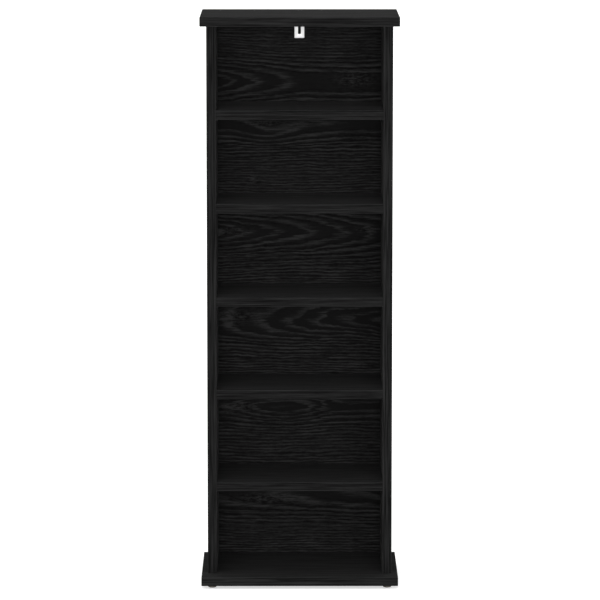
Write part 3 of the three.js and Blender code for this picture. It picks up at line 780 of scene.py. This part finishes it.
def quads_of(rows, columns, closed):
    """Corners of the faces between neighbouring rings, and between the last and the first if closed."""
    row = np.arange(rows if closed else rows - 1)[:, None]
    column = np.arange(columns)[None, :]
    after = (column + 1) % columns
    ring, next_ring = row * columns, (row + 1) % rows * columns
    corners = (ring + column, ring + after, next_ring + after, next_ring + column)
    return np.stack(corners, axis=-1).reshape(-1, 4)


def turned(profile, sides):
    """(radius cos a, radius sin a, height) for each profile point (height, radius) and each angle a.
    The profile runs upwards on the outside."""
    profile = np.asarray(profile)
    poles = profile[0, 1] == 0
    rings = profile[1:-1] if poles else profile
    angle = np.arange(sides) * 2 * math.pi / sides
    height, radius = rings[:, :1], rings[:, 1:]
    flat = np.broadcast_to(height, (len(rings), sides))
    points = np.stack((radius * np.cos(angle), radius * np.sin(angle), flat), axis=-1).reshape(-1, 3)
    faces = quads_of(len(rings), sides, closed=not poles).tolist()
    if poles:
        low, high = len(points), len(points) + 1
        points = np.vstack((points, (0, 0, profile[0, 0]), (0, 0, profile[-1, 0])))
        column = np.arange(sides)
        after = (column + 1) % sides
        last = (len(rings) - 1) * sides
        faces += np.stack((np.full(sides, low), after, column), axis=-1).tolist()
        faces += np.stack((np.full(sides, high), last + column, last + after), axis=-1).tolist()
    return points, faces


def arc(height, radius, reach, start, end):
    """Points (height, radius) on a circle, at angles in degrees from the outward direction to up."""
    angle = np.radians(np.linspace(start, end, ARC_STEPS))
    return np.stack((height + reach * np.sin(angle), radius + reach * np.cos(angle)), axis=-1)


def finish_piece(name, points, faces, material, slot, *replaced):
    """One mesh, with its place in its points, that rides on the tower."""
    mesh = bpy.data.meshes.new(name)
    mesh.from_pydata(np.asarray(points).tolist(), [], faces)
    mesh.validate()
    mesh.shade_smooth()
    mesh.set_sharp_from_angle(angle=SHARP_ANGLE)
    mesh.materials.append(material)
    piece = bpy.data.objects.new(name, mesh)
    scene.collection.objects.link(piece)
    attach(piece, "root")
    if replaced:
        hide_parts(*replaced)
    return piece


can_points, can_faces = turned([(0, 0), (0, 1), (1, 1), (1, 0)], 8)
print("a can with 8 sides has", len(can_points), "points and", len(can_faces), "faces")

# %% Glides and their nails
GLIDE_SIDES = 48
GLIDE_DOME = 2.0 * MM
GLIDE_TOP_ROUNDING = 0.4 * MM
GLIDE_HOLE = 1.2 * MM
GLIDE_RECESS = 3.1 * MM
GLIDE_SEAT = 2.4 * MM
NAIL_SIDES = 24
NAIL_HEAD = 2.9 * MM
NAIL_SHANK = 1.0 * MM
NAIL_HEAD_THICKNESS = 1.0 * MM
NAIL_POINT = 2.0 * MM
# Of the thickness of a nail's head: how far its rim is rounded, and where the middle of the rounding is.
RIM_ROUNDING_SHARE = 0.3
RIM_HEIGHT_SHARE = 0.6
RIM_TURN = 60  # degrees of the rounding to each side
CROWN_SHARES = (0.1, 0.55)  # of the thickness and of the radius, a point on the domed top
UNDERSIDE_SHARE = 0.9  # of the radius


def glide_profile(height, radius):
    """Out along the floor, round the dome, up the rim, in over the top and back down the stepped hole."""
    dome = arc(GLIDE_DOME, radius - GLIDE_DOME, GLIDE_DOME, -90, 0)
    rim = arc(height - GLIDE_TOP_ROUNDING, radius - GLIDE_TOP_ROUNDING, GLIDE_TOP_ROUNDING, 0, 90)
    hole = [(height, GLIDE_HOLE), (GLIDE_SEAT, GLIDE_HOLE), (GLIDE_SEAT, GLIDE_RECESS), (0.0, GLIDE_RECESS)]
    return np.vstack((dome, rim, hole))


def nail_profile(head, thickness, shank, length, point):
    """A domed head below, then its rim, its flat underside, the shank and the point."""
    rounding = thickness * RIM_ROUNDING_SHARE
    crown = [(0.0, 0.0), (thickness * CROWN_SHARES[0], head * CROWN_SHARES[1])]
    rim = arc(thickness * RIM_HEIGHT_SHARE, head - rounding, rounding, -RIM_TURN, RIM_TURN)
    underside = [(thickness, head * UNDERSIDE_SHARE), (thickness, shank)]
    return np.vstack((crown, rim, underside, [(length - point, shank), (length, 0.0)]))


for side in ("left", "right"):
    for end in ("front", "rear"):
        place = f"{end}_{side}"
        low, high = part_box("glide_" + place)
        height, radius = high.z - low.z, (high.x - low.x) / 2
        centre = np.array(((low.x + high.x) / 2, (low.y + high.y) / 2, low.z))
        points, faces = turned(glide_profile(height, radius), GLIDE_SIDES)
        name = "round_glide_" + place
        finish_piece(name, points + centre, faces, taupe_plastic, "taupe_plastic", "glide_" + place)
        low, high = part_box("glide_nail_" + place)
        centre[2] = low.z
        profile = nail_profile(NAIL_HEAD, NAIL_HEAD_THICKNESS, NAIL_SHANK, high.z - low.z, NAIL_POINT)
        points, faces = turned(profile, NAIL_SIDES)
        name = "round_glide_nail_" + place
        finish_piece(name, points + centre, faces, plated_steel, "zinc_plated_steel", "glide_nail_" + place)
print("height and width of a glide in mm:", in_mm(height, 2 * radius))

# %% [markdown]
# ## Covers of the upper cams
#
# The cams under the top are let into the inner faces of the sides, where their bright zinc would show
# from the front. The photograph shows no metal there, so a thin round cover in the foil of the boards is
# stuck over each. It is turned like a nail's head and then laid on the face, with its axis pointing into
# the bay.

# %% Cover the upper cams
COVER_RADIUS = 9.0 * MM
COVER_THICKNESS = 0.4 * MM
COVER_ROUNDING = 0.3 * MM
COVER_SIDES = 40
COVER_TONE = 0.22
COVER_PRINT = 11  # a print that no board has
# Rows: where the cover's own x, y and z point.
INTO_THE_BAY = {
    "left": np.array([(0, 1, 0), (0, 0, 1), (1, 0, 0)]),
    "right": np.array([(0, 0, 1), (0, 1, 0), (-1, 0, 0)]),
}


def cover_profile():
    """Flat underneath, straight up at the rim, and round over it into the flat top."""
    rim = arc(COVER_THICKNESS - COVER_ROUNDING, COVER_RADIUS - COVER_ROUNDING, COVER_ROUNDING, 0, 90)
    return np.vstack(([(0.0, 0.0), (0.0, COVER_RADIUS)], rim, [(COVER_THICKNESS, 0.0)]))


cover_figure = dict(Heart=-0.30, End=0.0, Taper=0.05)
cover_foil = board_foil("cam_covers", COVER_PRINT, COVER_TONE, upright=True, **cover_figure)
for side, axes in INTO_THE_BAY.items():
    panel_low, panel_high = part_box("side_panel_" + side)
    cam_low, cam_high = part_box("top_cam_" + side)
    face = panel_high.x if side == "left" else panel_low.x
    middle = np.array((face, (cam_low.y + cam_high.y) / 2, (cam_low.z + cam_high.z) / 2))
    points, faces = turned(cover_profile(), COVER_SIDES)
    finish_piece("cam_cover_" + side, points @ axes + middle, faces, cover_foil, "black_grain_board")
    print("cam cover", side, "in mm:", in_mm(*middle))

# %% [markdown]
# ## Nails in the back
#
# A thin back is nailed to the rear edges of the sides and of the shelves once the body stands square. One
# nail is enough to model: numpy adds its points to all the places in one step, and the faces follow with
# their numbers raised by a whole nail each time. The heads lie on the hardboard, and the shanks go
# through it into the middle of each board.

# %% Nail the back
BACK_NAIL_SIDES = 12
BACK_NAIL_HEAD = 1.7 * MM
BACK_NAIL_HEAD_THICKNESS = 0.8 * MM
BACK_NAIL_SHANK = 0.6 * MM
BACK_NAIL_LENGTH = 18 * MM
BACK_NAIL_STEP = 105 * MM  # between two nails down a side, at most
BACK_NAIL_MARGIN = 25 * MM  # from the upper and lower edge of the back
SHELF_NAIL_PLACE = 62 * MM  # to each side of the middle of a shelf
INTO_THE_BACK = np.array([(1, 0, 0), (0, 0, 1), (0, -1, 0)])  # rows: where the nail's own x, y and z point


def back_nail_places():
    """Middle of each nail's underside: down both sides at even steps, and two behind each shelf."""
    low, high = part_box("back_panel")
    start, end = low.z + BACK_NAIL_MARGIN, high.z - BACK_NAIL_MARGIN
    heights = np.linspace(start, end, math.ceil((end - start) / BACK_NAIL_STEP) + 1)
    places = []
    for side in ("left", "right"):
        panel_low, panel_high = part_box("side_panel_" + side)
        x = np.full_like(heights, (panel_low.x + panel_high.x) / 2)
        places.append(np.stack((x, np.full_like(heights, high.y), heights), axis=-1))
    for number in range(1, SHELF_COUNT + 1):
        shelf_low, shelf_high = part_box(f"shelf_{number}")
        z = (shelf_low.z + shelf_high.z) / 2
        places.append(np.array([(-SHELF_NAIL_PLACE, high.y, z), (SHELF_NAIL_PLACE, high.y, z)]))
    return np.vstack(places)


def build_back_nails():
    """points[i] + places[j] for every point i and nail j."""
    sizes = (BACK_NAIL_HEAD, BACK_NAIL_HEAD_THICKNESS, BACK_NAIL_SHANK, BACK_NAIL_LENGTH, NAIL_POINT)
    points, faces = turned(nail_profile(*sizes), BACK_NAIL_SIDES)
    points[:, 2] -= BACK_NAIL_HEAD_THICKNESS
    points = points @ INTO_THE_BACK
    places = back_nail_places()
    all_points = (places[:, None, :] + points[None, :, :]).reshape(-1, 3)
    firsts = range(0, len(all_points), len(points))
    all_faces = [[corner + first for corner in face] for first in firsts for face in faces]
    finish_piece("back_nails", all_points, all_faces, plated_steel, "zinc_plated_steel")
    return len(places)


print("nails in the back:", build_back_nails())

# %% [markdown]
# ## The bracket
#
# The bracket is punched from a steel strip and then bent, and it can be made the same way here. The flat
# strip is a filled curve with two openings, the slot and the hole of the screw, and the curve's own
# bevel rounds its edges as the press and the paint do. The mesh is cut into narrow bands where the
# bend comes, and every point is then carried round the bend by one formula, which keeps the strip
# exactly inside the place that the frame gives it.

# %% Outlines of the strip
BRACKET_THICKNESS = 2.0 * MM
BRACKET_BEND = 1.5 * MM  # radius inside the bend
BRACKET_EDGE = 0.25 * MM
BRACKET_CORNER = 0.8 * MM
SLOT_WIDTH = 4.6 * MM
SLOT_LENGTH = 18 * MM
SLOT_LIFT = 6 * MM  # from the lower end to the slot
SCREW_INSET = 9 * MM  # from the front end to the middle of the screw
SCREW_HOLE = 2.0 * MM  # its radius
CURVE_STEPS = 10

bend_outside = BRACKET_BEND + BRACKET_THICKNESS
bend_length = (BRACKET_BEND + BRACKET_THICKNESS / 2) * math.pi / 2  # in the middle of the thickness
bracket_low, bracket_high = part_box("wall_bracket")
leg = bracket_high.z - bracket_low.z - bend_outside
strip_length = leg + bend_length + bracket_high.y - bracket_low.y - bend_outside


def round_ended(half_width, low, high):
    """The outline of an opening: two half circles, with their middles at low and high."""
    turn = np.linspace(0, math.pi, CURVE_STEPS)
    top = np.stack((high + half_width * np.sin(turn), half_width * np.cos(turn)), axis=-1)
    bottom = np.stack((low - half_width * np.sin(turn), -half_width * np.cos(turn)), axis=-1)
    return np.vstack((top, bottom))[::-1]


def round_cornered(length, half_width, corner):
    """A rectangle from 0 to length and to both sides of the middle, with a quarter circle at each corner."""
    turn = np.linspace(0, math.pi / 2, CURVE_STEPS)
    quarters = []
    for number, (x, y) in enumerate(((1, 1), (-1, 1), (-1, -1), (1, -1))):
        centre = np.array((length / 2 + x * (length / 2 - corner), y * (half_width - corner)))
        angle = turn + number * math.pi / 2
        quarters.append(centre + corner * np.stack((np.cos(angle), np.sin(angle)), axis=-1))
    return np.vstack(quarters)


def strip_outlines():
    """The strip, the slot and the screw's hole, drawn back by what the bevel adds to the metal."""
    half_width = (bracket_high.x - bracket_low.x) / 2 - BRACKET_EDGE
    strip = round_cornered(strip_length - 2 * BRACKET_EDGE, half_width, BRACKET_CORNER)
    half_slot = SLOT_WIDTH / 2
    slot_ends = (SLOT_LIFT + half_slot, SLOT_LIFT + SLOT_LENGTH - half_slot)
    slot = round_ended(half_slot + BRACKET_EDGE, *slot_ends)
    screw_place = strip_length - SCREW_INSET
    screw_hole = round_ended(SCREW_HOLE + BRACKET_EDGE, screw_place, screw_place)
    return strip + (BRACKET_EDGE, 0), slot, screw_hole


print("length of the strip and of its leg in mm:", in_mm(strip_length, leg))

# %% Punch and bend the strip
BEVEL_STEPS = 2
BEND_BANDS = 10
MERGE_DISTANCE = 0.01 * MM


def punched_strip():
    """A filled curve with rounded edges, made a mesh."""
    data = bpy.data.curves.new("strip", "CURVE")
    data.dimensions = "2D"
    data.fill_mode = "BOTH"
    data.extrude = BRACKET_THICKNESS / 2 - BRACKET_EDGE
    data.bevel_depth = BRACKET_EDGE
    data.bevel_resolution = BEVEL_STEPS
    for outline in strip_outlines():
        spline = data.splines.new("POLY")
        spline.points.add(len(outline) - 1)
        flat = np.zeros((len(outline), 4))
        flat[:, :2] = outline
        spline.points.foreach_set("co", flat.ravel())
        spline.use_cyclic_u = True
    holder = bpy.data.objects.new("strip", data)
    mesh = bpy.data.meshes.new_from_object(holder)
    bpy.data.objects.remove(holder)
    return mesh


def cut_bands(mesh):
    """Merges the mesh and cuts it across, so that the bend has enough bands to be round."""
    shape = bmesh.new()
    shape.from_mesh(mesh)
    bmesh.ops.remove_doubles(shape, verts=shape.verts, dist=MERGE_DISTANCE)
    for place in np.linspace(leg, leg + bend_length, BEND_BANDS + 1):
        everything = shape.verts[:] + shape.edges[:] + shape.faces[:]
        bmesh.ops.bisect_plane(shape, geom=everything, plane_co=(place, 0, 0), plane_no=(1, 0, 0))
    bmesh.ops.recalc_face_normals(shape, faces=shape.faces)
    shape.to_mesh(mesh)
    shape.free()


def bend(points):
    """Along the strip: up the leg, then round the bend by (along - leg) / bend_length of a right angle,
    then forward. depth is measured from the outer face, and across runs towards -X, so that nothing is
    mirrored and the faces still point outwards."""
    along, across, depth = points[:, 0], points[:, 1], points[:, 2] + BRACKET_THICKNESS / 2
    turn = np.clip((along - leg) / bend_length, 0, 1) * math.pi / 2
    reach = bend_outside - depth
    past = np.maximum(along - leg - bend_length, 0)
    y = bracket_high.y - bend_outside + reach * np.cos(turn) - past
    round_the_bend = bracket_high.z - bend_outside + reach * np.sin(turn)
    z = np.where(along < leg, bracket_low.z + along, round_the_bend)
    middle = (bracket_low.x + bracket_high.x) / 2
    return np.stack((middle - across, y, z), axis=-1)


def build_bracket():
    mesh = punched_strip()
    cut_bands(mesh)
    points = np.empty(len(mesh.vertices) * 3)
    mesh.vertices.foreach_get("co", points)
    faces = [tuple(face.vertices) for face in mesh.polygons]
    bpy.data.meshes.remove(mesh)
    bent = bend(points.reshape(-1, 3))
    return finish_piece("painted_bracket", bent, faces, white_paint, "white_paint", "wall_bracket")


print("faces of the bracket:", len(build_bracket().data.polygons))

# %% [markdown]
# ## The end
